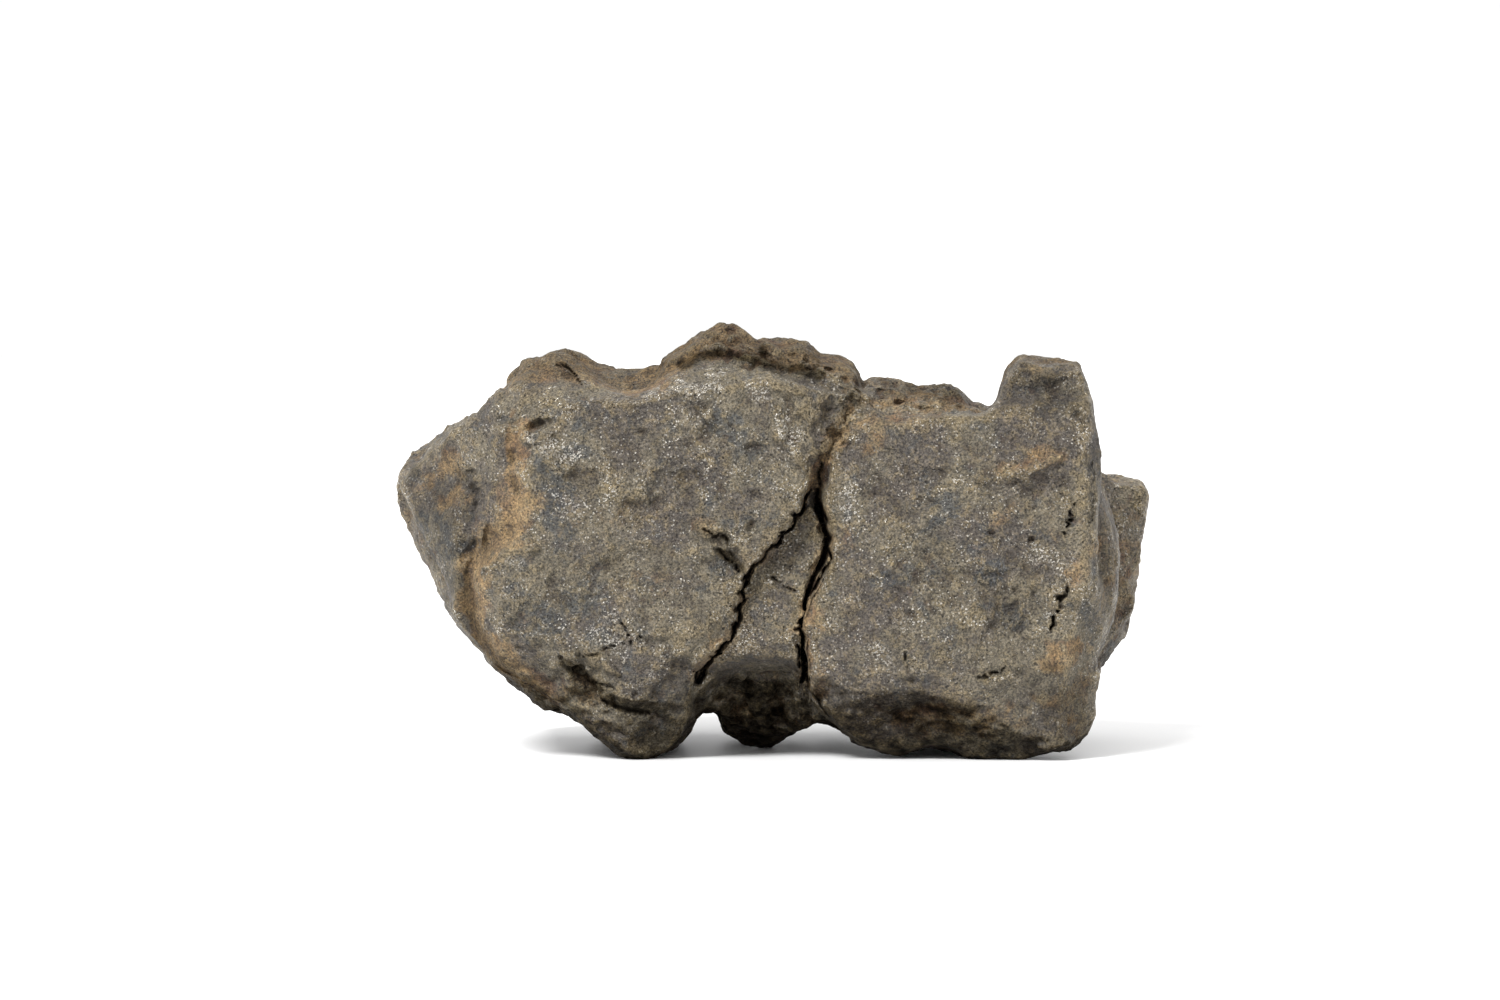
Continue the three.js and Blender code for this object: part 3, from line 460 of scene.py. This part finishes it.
def carveFront(skin):
    wobble = swell(skin.points, 1.0, 3, 4)
    depth, share = np.zeros(skin.count), skin.frontShare(4.5)
    for at, size, turn, deep in carving["dents"]:
        depth += deep * (1 - smoothStep(0.0, 1.1, inSpot(skin.points, at, size, turn) + wobble * 0.6))
    for path, width, high in carving["ridges"]:
        depth -= high * smoothStep(0, 1, stroke(skin.points, path, width, wobble))
    for path, width, deep in carving["troughs"]:
        depth += deep * smoothStep(0, 0.8, stroke(skin.points, path, width, wobble, 0.7))
    edge = ragged(skin.points)
    for path, width, deep in carving["cracks"]:
        depth += deep * stroke(skin.points, path, width, edge, 0.5) ** 0.7
    skin.points[:, 1] += depth * share


def roughen(skin):
    spots = np.zeros(skin.count)
    for at, size, turn in carving["rough"]:
        spots = np.maximum(spots, 1 - smoothStep(0.6, 1.1, inSpot(skin.points, at, size, turn)))
    spots *= 1 - smoothStep(8.0, 11.0, skin.points[:, 1])
    (lump, high), (edge, deep) = carving["knobs"]["round"], carving["knobs"]["sharp"]
    skin.lift(spots * (high * swell(skin.points, lump, 3, 11) - deep * jagged(skin.points, edge, 3, 12)))


def wear(skin):
    wornAndGlinting, soft = skin.averaged(skin.points, carving["wear"]), np.zeros(skin.count)
    for at, size, turn in carving["soft"]:
        soft = np.maximum(soft, 1 - smoothStep(0.5, 1.0, inSpot(skin.points, at, size, turn)))
    soft *= 1 - smoothStep(9.0, 12.0, skin.points[:, 1])
    skin.points += (wornAndGlinting - skin.points) * soft[:, None]


def pit(skin):
    dice, normals = np.random.default_rng(carving["pits"]["seed"]), skin.normals()
    places = kdtree.KDTree(skin.count)
    for index, point in enumerate(skin.points.tolist()):
        places.insert(point, index)
    places.balance()
    for index in dice.integers(0, skin.count, carving["pits"]["count"]):
        radius = dice.uniform(*carving["pits"]["radius"]) * dice.uniform(0.4, 1)
        near = places.find_range(skin.points[index], radius)
        away = np.array([n[2] for n in near]) / radius
        sink = carving["pits"]["depth"] * radius * (1 - away ** 2)
        skin.points[[n[1] for n in near]] -= normals[index] * sink[:, None]


def carve(stone):
    skin = Skin(stone)
    skin.points = skin.averaged(skin.points, carving["soften"])
    for buckle in carving["buckle"]:
        skin.points[:, 1] += buckle["depth"] * swell(skin.points, buckle["size"], 2) * skin.frontShare(4.0)
    sway(skin)
    for settings in carving["facets"]:
        facet(skin, settings)
    skin.points = skin.averaged(skin.points, 1)
    carveFront(skin)
    roughen(skin)
    for rim in rims:
        fitOutline(skin, *rim)
    wear(skin)
    pit(skin)
    for settings in carving["grain"]:
        size, rounds = settings["size"], settings["rounds"]
        relief = 0.6 * swell(skin.points, size, rounds, 2) + 0.4 * jagged(skin.points, size * 0.8, rounds, 5)
        skin.lift(settings["height"] * skin.share(settings) * relief)
    skin.points[:, 2] = np.maximum(skin.points[:, 2], 0)
    skin.write()


def thinned(stone, most):
    # fewer faces, where the surface is plainest
    faces = sum(len(p.vertices) - 2 for p in stone.data.polygons)
    if faces > most:
        thin = stone.modifiers.new("thin", "DECIMATE")
        thin.ratio = most / faces
        applied(stone)


carve(stone)
thinned(stone, detail["mostFaces"])
print("stone carved:", len(stone.data.polygons), "faces")


class Wire:  # a node's output, on which sums can be written
    def __init__(self, paint, socket):
        self.paint, self.socket = paint, socket

    def sum(self, operation, *terms):
        return self.paint.node("Math", {"operation": operation}, dict(enumerate(terms)))

    def __add__(self, other):
        return self.sum("ADD", self, other)

    def __radd__(self, other):
        return self.sum("ADD", other, self)

    def __sub__(self, other):
        return self.sum("SUBTRACT", self, other)

    def __rsub__(self, other):
        return self.sum("SUBTRACT", other, self)

    def __mul__(self, other):
        return self.sum("MULTIPLY", self, other)

    def __rmul__(self, other):
        return self.sum("MULTIPLY", other, self)

    def between(self, low, high):  # 0 below low, 1 above high, or the other way round
        settings = {"interpolation_type": "SMOOTHSTEP"}
        if low > high:
            return 1 - self.between(high, low)
        return self.paint.node("MapRange", settings, {"Value": self, "From Min": low, "From Max": high})


class Paint:  # the nodes of one material
    def __init__(self, name):
        self.material = bpy.data.materials.new(name)
        self.material.use_nodes = True
        self.tree = self.material.node_tree
        self.shader = self.tree.nodes["Principled BSDF"]
        self.place = self.node("TexCoord", {}, {}, "Object")

    def node(self, kind, settings, sockets, output=0):
        made = self.tree.nodes.new("ShaderNode" + kind)
        for name, value in settings.items():
            setattr(made, name, value)
        for name, value in sockets.items():
            self.feed(made.inputs[name], value)
        return Wire(self, made.outputs[output])

    def feed(self, socket, value):
        if isinstance(value, Wire):
            self.tree.links.new(value.socket, socket)
        else:
            socket.default_value = value

    def moved(self, shift):
        by = (shift * 0.1, shift * 0.07, shift * 0.03)
        return self.node("VectorMath", {"operation": "ADD"}, {0: self.place, 1: by})

    def cloud(self, size, rounds, seed, roughness=0.55, twist=0.0):  # soft noise around 0.5, size in mm
        sockets = {"Detail": rounds, "Roughness": roughness, "Distortion": twist}
        return self.node("TexNoise", {}, {"Vector": self.moved(seed), "Scale": 1 / (size * mm), **sockets})

    def cells(self, size, seed, output="Distance"):  # crystals of that size in mm
        return self.node("TexVoronoi", {}, {"Vector": self.moved(seed), "Scale": 1 / (size * mm)}, output)

    def mask(self, name):
        return self.node("Attribute", {"attribute_name": name}, {}, "Fac")

    def mixed(self, share, a, b, way="MIX"):
        settings = {"data_type": "RGBA", "blend_type": way}
        return self.node("Mix", settings, {0: share, 6: a, 7: b}, 2)


def rgb(*seen):  # a colour as it is seen on a screen, from 0 to 255, made linear
    return tuple(c / 255 / 12.92 if c < 11 else ((c / 255 + 0.055) / 1.055) ** 2.4 for c in seen) + (1.0,)


iron = {  # screen colours, then sizes in mm, then shader values
    "greyBrown": rgb(100, 93, 79), "plumGrey": rgb(78, 72, 66), "slate": rgb(60, 63, 65), "tan": rgb(127, 112, 83),
    # two near-black colours: one for painted shade, one for the dark specks and for painted shade in the cracks;
    # glint is the colour of painted highlights
    "ochre": rgb(133, 108, 72), "rust": rgb(94, 66, 44), "umber": rgb(46, 36, 28), "paintedShade": rgb(14, 11, 8),
    "specksAndCrackShade": rgb(14, 12, 10), "glint": rgb(205, 200, 190),
    "grainSize": 0.15, "glintSize": 0.095, "bumpHeight": 0.15, "metallic": 0.3, "roughness": 0.50,
}


def ironPaint():
    p = Paint("weatheredIron")
    hollow, rusty, slaty, shade, crackShade, glintPatches = [
        p.mask(name) for name in ("hollow", "rust", "slate", "shade", "crackShade", "glintPatches")]
    broad, medium, small = p.cloud(4.5, 4, 1, 0.6, 0.3), p.cloud(1.8, 5, 2, 0.62, 0.4), p.cloud(0.7, 4, 3, 0.6)
    grain, cut = p.cloud(iron["grainSize"], 3, 4, 0.7), p.cloud(0.9, 5, 5, 0.68, 0.6)
    colour = p.mixed(broad.between(0.42, 0.60), iron["greyBrown"], iron["plumGrey"])
    colour = p.mixed((medium + slaty * 0.25).between(0.53, 0.66) * 0.75, colour, iron["slate"])
    colour = p.mixed((cut + rusty * 0.12).between(0.51, 0.72) * 0.6, colour, iron["tan"])
    uneven = (medium - 0.5) * 2.0 + (small - 0.5) * 1.6 + (grain - 0.5) * 0.5
    spread = (rusty + uneven + hollow * 0.2).between(0.20, 0.95)  # how far the rust covers the iron
    rustColour = p.mixed((p.cloud(2.4, 4, 6) + rusty * 0.12).between(0.40, 0.66), iron["rust"], iron["ochre"])
    rustColour = p.mixed(small.between(0.50, 0.70) * 0.6, rustColour, iron["umber"])
    colour = p.mixed(spread * 0.8, colour, rustColour)
    # umber mixed in: darker in the hollows, less where rusty
    darkInHollows = (hollow - 0.1 + (small - 0.5) * 1.4).between(0.05, 0.8) * (0.48 - rusty * 0.25)
    colour = p.mixed(darkInHollows, colour, iron["umber"])
    colour = p.mixed((hollow * -1 + (grain - 0.5)).between(0.2, 0.9) * 0.4, colour, iron["tan"])
    colour = p.mixed(1.0, colour, grain.between(0.32, 0.68) * 1.3 + 0.32, "MULTIPLY")
    colour = p.mixed(1.0, colour, p.cloud(1.3, 4, 11, 0.65, 0.5).between(0.32, 0.66) * 0.38 + 0.79, "MULTIPLY")
    flecks = p.cloud(0.28, 2, 12, 0.6)
    colour = p.mixed(flecks.between(0.54, 0.64) * 0.25, colour, iron["tan"])
    colour = p.mixed(flecks.between(0.46, 0.36) * 0.26, colour, iron["umber"])
    specks = p.cells(0.34, 7).between(0.26, 0.12) * p.cloud(0.9, 2, 8).between(0.44, 0.58)
    colour = p.mixed(specks * 0.75, colour, iron["specksAndCrackShade"])
    # worn convex edges: less rough and more metallic, and more painted glints
    wornAndGlinting = (hollow * -1).between(0.15, 0.8) * (1 - spread) * (1 - shade)
    # painted highlights: bright glint specks in the colour, more on worn edges and in the glint patches, none in
    # painted shade
    glintCells = p.cells(iron["glintSize"], 9, "Color")
    glints = (glintCells + wornAndGlinting * 0.12 + glintPatches * 0.28).between(0.80, 0.92)
    glints = glints * p.cloud(1.6, 4, 10, 0.6).between(0.40, 0.62) * (1 - spread * 0.8)
    colour = p.mixed(glints * (1 - shade) * 0.7, colour, iron["glint"])
    # painted shade: black in the cracks
    colour = p.mixed(crackShade, colour, iron["specksAndCrackShade"])
    # painted shade: near black underneath, on the crest, and in the shaded spots and lines
    colour = p.mixed(shade * (small.between(0.3, 0.7) * 0.45 + 0.6), colour, iron["paintedShade"])
    p.feed(p.shader.inputs["Base Color"], colour)
    dull = spread * 0.3 + (crackShade + shade) * 0.3 - (glints + wornAndGlinting * 0.6) * 0.25 + (grain - 0.5) * 0.3
    p.feed(p.shader.inputs["Roughness"], iron["roughness"] + dull)
    bare = (1 - spread) * (wornAndGlinting * 0.25 + iron["metallic"])
    p.feed(p.shader.inputs["Metallic"], bare + crackShade + shade.between(0.3, 0.9))  # painted shade, in the cracks and elsewhere, made metallic reflects least
    height = grain * 1.3 + p.cells(iron["glintSize"], 9) * 0.5 + small * 2.2 - specks * 0.8
    bump = p.node("Bump", {}, {"Strength": 1.0, "Distance": iron["bumpHeight"] * mm, "Height": height})
    p.feed(p.shader.inputs["Normal"], bump)
    return p.material


stainsAndPaintedLight = {
    "hollows": [(3, 0.06, 0.45), (24, 0.30, 0.55)],  # rounds of averaging, mm of depth that count in full, share
    "underShade": 0.97, "crestShade": 0.44, "crestRust": 0.72,
    "backRust": (0.26, 0.30, 0.20), "backSlate": 0.7,  # evenly, in broad patches, in small ones; broad patches
    "rust": [  # middle (x, z), half size, turn in degrees, strength
        ((-17.5, 16.4), (1.9, 2.7), 0, 0.8), ((-9.5, 25.9), (5.0, 1.2), 0, 0.8),
        ((6.6, 21.4), (0.9, 1.5), 0, 0.5), ((4.5, 22.0), (0.9, 2.8), -25, 0.75),
        ((18.0, 20.2), (1.8, 0.9), 20, 0.8), ((15.5, 16.6), (1.4, 0.9), 30, 0.5),
        ((20.0, 12.6), (1.2, 1.2), 0, 0.7), ((21.6, 14.4), (0.7, 1.0), 0, 0.8), ((19.3, 7.2), (2.2, 1.5), 0, 1.0),
        ((20.3, 4.6), (1.9, 3.0), 0, 0.6), ((-4.4, 15.7), (1.4, 0.7), -10, 0.45),
        ((-13.7, 19.7), (0.8, 0.5), 0, 0.5), ((-10.8, 16.6), (3.2, 1.2), 8, 0.45),
        ((-8.6, 11.5), (3.0, 2.0), 0, 0.2), ((-3.6, 7.4), (2.2, 0.9), 40, 0.6),
        ((9.5, 24.2), (5.5, 1.3), 0, 0.75), ((17.7, 26.4), (0.6, 0.5), 0, 0.8),
        ((-12.4, 4.4), (3.2, 1.6), -40, 0.5), ((12.0, 3.0), (7.6, 1.9), 5, 0.6),
        ((22.8, 12.5), (0.8, 5.0), 0, 0.6), ((5.0, 14.6), (0.8, 1.6), 0, 0.4), ((3.0, 10.0), (0.7, 4.0), 0, 0.7),
        ((3.2, 5.0), (0.9, 2.0), 0, 0.6), ((19.0, 15.0), (0.6, 2.4), 0, 0.3),
        ((-23.2, 18.8), (2.2, 0.9), 35, 0.6), ((-21.4, 17.6), (1.9, 0.9), 15, 0.9),
        ((-21.8, 19.8), (2.4, 1.3), 30, 0.7), ((-22.6, 12.6), (0.8, 2.6), 10, 0.6),
    ],
    "rustLines": [  # path, half width, strength
        ([(-16.6, 22.6), (-17.3, 21.0), (-17.4, 18.8), (-16.9, 17.2), (-17.6, 15.6), (-19.2, 14.3), (-20.2, 12.3),
          (-20.3, 10.6), (-19.6, 8.8), (-18.4, 7.0), (-16.6, 5.2), (-14.6, 4.0)], 1.5, 0.95),
        ([(-12.6, 26.2), (-11.0, 25.6), (-9.4, 25.3), (-7.9, 25.8), (-6.2, 27.0), (-5.0, 27.9)], 1.3, 0.9),
        ([(3.4, 14.0), (2.7, 12.0), (2.1, 10.2), (1.9, 8.0), (2.0, 5.4)], 0.6, 0.9),
        ([(-2.6, 9.2), (-3.2, 8.2), (-4.4, 7.0), (-5.2, 5.6)], 0.8, 0.7),
        ([(4.8, 22.2), (3.7, 20.6), (3.0, 19.4), (2.9, 18.2)], 0.9, 1.0),
        ([(5.4, 22.6), (6.4, 22.6), (8.2, 23.0), (11.0, 23.0)], 0.8, 0.6),
        ([(14.6, 16.8), (15.6, 16.6), (16.4, 17.2)], 0.6, 0.6),
        ([(14.8, 19.4), (17.2, 20.0), (19.2, 20.6)], 0.9, 0.7),
    ],
    "shadeLines": [
        ([(-20.6, 12.4), (-20.3, 9.4), (-19.0, 7.2), (-17.2, 5.3), (-15.2, 3.9), (-12.6, 2.4)], 0.9, 0.6),
        ([(-13.9, 6.7), (-12.8, 5.9), (-11.4, 4.9)], 0.6, 0.8),
        ([(-11.0, 4.1), (-9.8, 3.7), (-8.6, 3.4)], 0.5, 0.8),
        ([(-4.0, 15.2), (-3.4, 15.3), (-3.0, 14.7)], 0.45, 0.7),
        ([(-3.6, 14.2), (-2.9, 13.9), (-2.4, 13.2), (-1.9, 12.9)], 0.5, 0.7),
        ([(-6.0, 26.5), (-4.6, 27.3), (-3.2, 27.5), (-1.2, 27.0), (1.0, 26.4), (3.4, 25.9)], 0.7, 0.75),
        ([(-0.9, 29.2), (-0.8, 28.2), (-0.4, 27.2)], 0.4, 0.85),
        ([(3.1, 28.4), (3.3, 27.4), (2.8, 26.4)], 0.4, 0.85), ([(6.1, 25.8), (5.6, 25.2), (5.2, 24.2)], 0.5, 0.7),
        ([(-17.7, 20.9), (-17.4, 20.2)], 0.6, 0.6), ([(-17.4, 19.0), (-17.1, 18.2)], 0.6, 0.5),
    ],
    # places where painted glint highlights gather
    "glintPatches": [
        ((-14.8, 21.2), (2.4, 1.1), -20, 1.0), ((-5.8, 25.2), (3.6, 0.8), 15, 1.0),
        ((1.2, 21.4), (1.0, 2.2), 20, 0.8), ((-11.0, 9.0), (3.6, 1.6), -20, 0.5),
        ((-16.6, 13.6), (1.6, 0.8), 0, 0.8), ((5.0, 18.4), (0.8, 2.2), 0, 0.7),
        ((18.4, 13.2), (2.0, 2.6), 0, 0.5), ((8.0, 8.0), (3.6, 2.4), 0, 0.45),
        ((-12.6, 17.6), (2.6, 1.4), 0, 0.6), ((-2.0, 24.8), (3.0, 0.8), -15, 0.7),
        ((17.6, 26.9), (2.4, 0.6), 0, 0.6), ((-8.6, 5.4), (1.6, 1.2), 0, 0.5),
    ],
    "slate": [
        ((-3.6, 22.5), (1.8, 1.3), 0, 0.9), ((-3.2, 13.3), (1.3, 1.1), 0, 1.0),
        ((11.2, 17.3), (2.2, 1.3), 10, 0.8), ((14.7, 13.0), (1.8, 1.2), 0, 0.8),
        ((16.1, 9.8), (1.6, 1.4), 0, 0.8), ((7.3, 12.0), (1.8, 1.0), 0, 0.6), ((-15.2, 9.5), (2.2, 2.4), 0, 0.8),
        ((-13.5, 20.8), (2.0, 1.2), 0, 0.7), ((-17.0, 10.8), (1.2, 1.6), 0, 0.8),
        ((20.5, 10.0), (1.5, 1.3), 0, 0.6), ((-21.4, 14.4), (1.8, 2.4), 15, 1.0),
        ((-24.6, 19.2), (0.8, 0.8), 0, 1.0), ((-1.0, 20.0), (1.6, 1.4), 0, 0.5),
        ((-15.0, 18.5), (2.2, 4.2), 0, 0.6), ((-12.5, 22.5), (3.0, 1.6), 0, 0.5),
        ((-13.0, 11.0), (2.6, 3.2), 20, 0.5), ((-22.8, 13.8), (1.6, 3.4), 15, 1.0),
    ],
    "shade": [
        ((-0.8, 3.4), (4.6, 3.2), 0, 1.0), ((4.2, 2.4), (2.4, 2.0), 0, 0.9), ((9.5, 1.6), (6.8, 2.7), 0, 0.66),
        ((-8.6, 1.2), (3.8, 2.8), 0, 0.68), ((-22.2, 16.0), (3.6, 7.0), 0, 0.43),
        ((-9.4, 25.9), (4.6, 1.2), 0, 0.2), ((-20.1, 18.3), (0.8, 0.9), 0, 0.6),
        ((10.4, 24.9), (5.6, 1.3), 0, 0.5), ((22.9, 12.0), (0.7, 5.5), 0, 0.3), ((19.5, 3.6), (3.4, 4.0), 0, 0.5),
        ((18.3, 25.2), (3.6, 2.8), 0, 0.42), ((21.7, 20.0), (1.1, 4.6), 0, 0.35),
        ((21.9, 10.5), (0.9, 2.6), 0, 0.3), ((-5.4, 3.6), (0.8, 2.4), -10, 0.6),
        ((0.4, 6.4), (2.6, 1.8), 0, 0.35), ((-19.5, 8.0), (1.2, 3.0), 30, 0.4),
        ((-12.6, 5.2), (2.6, 1.1), -50, 0.5), ((-9.8, 3.7), (1.8, 0.5), -15, 0.6),
        ((2.9, 18.2), (0.6, 1.0), -10, 0.3),
    ],
}


def spotted(skin, name, wobble):
    found = np.zeros(skin.count)
    for at, size, turn, strength in stainsAndPaintedLight[name]:
        away = inSpot(skin.points, at, size, turn) + wobble * 0.6
        found = np.maximum(found, strength * (1 - smoothStep(0.3, 1.1, away)))
    return found


def lined(skin, name, wobble):
    found = np.zeros(skin.count)
    for path, width, strength in stainsAndPaintedLight[name]:
        found = np.maximum(found, strength * smoothStep(0, 0.7, stroke(skin.points, path, width, wobble, 0.7)))
    return found


def hollowness(skin, normals):  # 1 in hollows, -1 on crests
    found = np.zeros(skin.count)
    for rounds, full, share in stainsAndPaintedLight["hollows"]:
        depth = np.einsum("ij,ij->i", skin.averaged(skin.points, rounds) - skin.points, normals) / full
        found += np.clip(depth, -1, 1) * share
    return found


def stainAndPaintLight(stone):
    # keeps on each point how hollow, rusty and slate grey it is, and where painted shade falls (underneath, on the
    # crest, in spots and creases, in the cracks) and where painted glints gather
    skin = Skin(stone)
    normals, wobble = skin.normals(), swell(skin.points, 1.6, 3, 6)
    skin.keep("hollow", hollowness(skin, normals))
    x, y, z = skin.points.T
    front = 1 - smoothStep(3.5, 6.0, y - 3 * smoothStep(-14.0, -18.0, x))  # reaches deeper at the far left
    deepFront = 1 - smoothStep(8.0, 11.0, y)
    patches, behindRim = swell(skin.points, 7.0, 4, 9), smoothStep(1.5, 3.0, y)
    even, broad, small = stainsAndPaintedLight["backRust"]
    rust = np.maximum(spotted(skin, "rust", wobble), lined(skin, "rustLines", wobble)) * front
    rust = np.maximum(rust, (1 - front) * (even + broad * patches + small * wobble))
    rust = np.maximum(rust, stainsAndPaintedLight["crestRust"] * smoothStep(24.0, 26.0, z) * behindRim)
    facingDown = smoothStep(0.05, 0.7, -normals[:, 2]) * (1 - 0.8 * smoothStep(2.5, 9.0, z))  # painted shade on what faces down, most near the table
    under, crest = stainsAndPaintedLight["underShade"] * facingDown, stainsAndPaintedLight["crestShade"] * smoothStep(24.6, 26.2, z) * behindRim
    # painted shade in the cracks, stronger where they are deeper
    crackShadeMask, edge = np.zeros(skin.count), ragged(skin.points)
    for path, width, deep in carving["cracks"]:
        crackShadeMask = np.maximum(crackShadeMask, stroke(skin.points, path, width, edge, 0.5) * min(1.0, 0.5 + deep * 0.3))
        beside = smoothStep(0, 0.6, stroke(skin.points, path, width * 3.0, wobble))
        rust = np.maximum(rust, min(0.7, deep * 0.4) * beside * front)
    skin.keep("rust", rust)
    bluish = (1 - front) * smoothStep(0.1, 0.6, -patches) * stainsAndPaintedLight["backSlate"]
    skin.keep("slate", np.maximum(spotted(skin, "slate", wobble) * front, bluish))
    shade = np.maximum(spotted(skin, "shade", wobble) * deepFront, lined(skin, "shadeLines", wobble) * front)
    skin.keep("shade", np.clip(np.maximum(np.maximum(under, crest), shade), 0, 1))
    skin.keep("glintPatches", spotted(skin, "glintPatches", wobble) * front)
    skin.keep("crackShade", smoothStep(0.1, 0.6, crackShadeMask) * front)


stainAndPaintLight(stone)
stone.data.materials.clear()
stone.data.materials.append(ironPaint())
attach(stone, "root")
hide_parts("meteorite")
print("stone painted")

studio = {
    "floor": (0.96, 0.96, 0.96, 1), "floorRoughness": 0.3, "sky": 1.02,
    "lights": {  # where each comes from, its spread in degrees, its power
        "key": ((-0.5, -0.7, 0.95), 18, 4.8),
        "back": ((0.3, 0.8, 1.0), 40, 0.3),
    },
}


def addFloor():
    bm = bmesh.new()
    bmesh.ops.create_grid(bm, x_segments=1, y_segments=1, size=30.0)
    shape = bpy.data.meshes.new("table")
    bm.to_mesh(shape)
    bm.free()
    table = bpy.data.objects.new("table", shape)
    scene.collection.objects.link(table)
    paint = Paint("paleTable")
    paint.feed(paint.shader.inputs["Base Color"], studio["floor"])
    paint.feed(paint.shader.inputs["Roughness"], studio["floorRoughness"])
    shape.materials.append(paint.material)


def addCamera():
    lens = bpy.data.cameras.new("camera")
    lens.lens, lens.sensor_width = view["lens"], view["sensor"]
    lens.clip_start, lens.clip_end = 0.01, 100
    camera = bpy.data.objects.new("camera", lens)
    scene.collection.objects.link(camera)
    tilt = math.radians(view["tilt"])
    back = Vector((0, -math.cos(tilt), math.sin(tilt)))
    camera.location = toFrame(view["aim"]) + back * view["away"] * mm
    camera.rotation_mode = "QUATERNION"
    camera.rotation_quaternion = (-back).to_track_quat("-Z", "Y")
    scene.camera = camera


def addLight(name, way, softness, power):
    # an even light from far away
    light = bpy.data.lights.new(name, "SUN")
    light.angle, light.energy = math.radians(softness), power
    lamp = bpy.data.objects.new(name, light)
    lamp.rotation_mode = "QUATERNION"
    lamp.rotation_quaternion = Vector(way).to_track_quat("Z", "Y")
    scene.collection.objects.link(lamp)


addFloor()
addCamera()
for name, settings in studio["lights"].items():
    addLight(name, *settings)
world = bpy.data.worlds.new("paleRoom")
world.use_nodes = True
world.node_tree.nodes["Background"].inputs["Color"].default_value = (1, 1, 1, 1)
world.node_tree.nodes["Background"].inputs["Strength"].default_value = studio["sky"]
scene.world = world
scene.view_settings.view_transform = "Standard"
print("studio set")
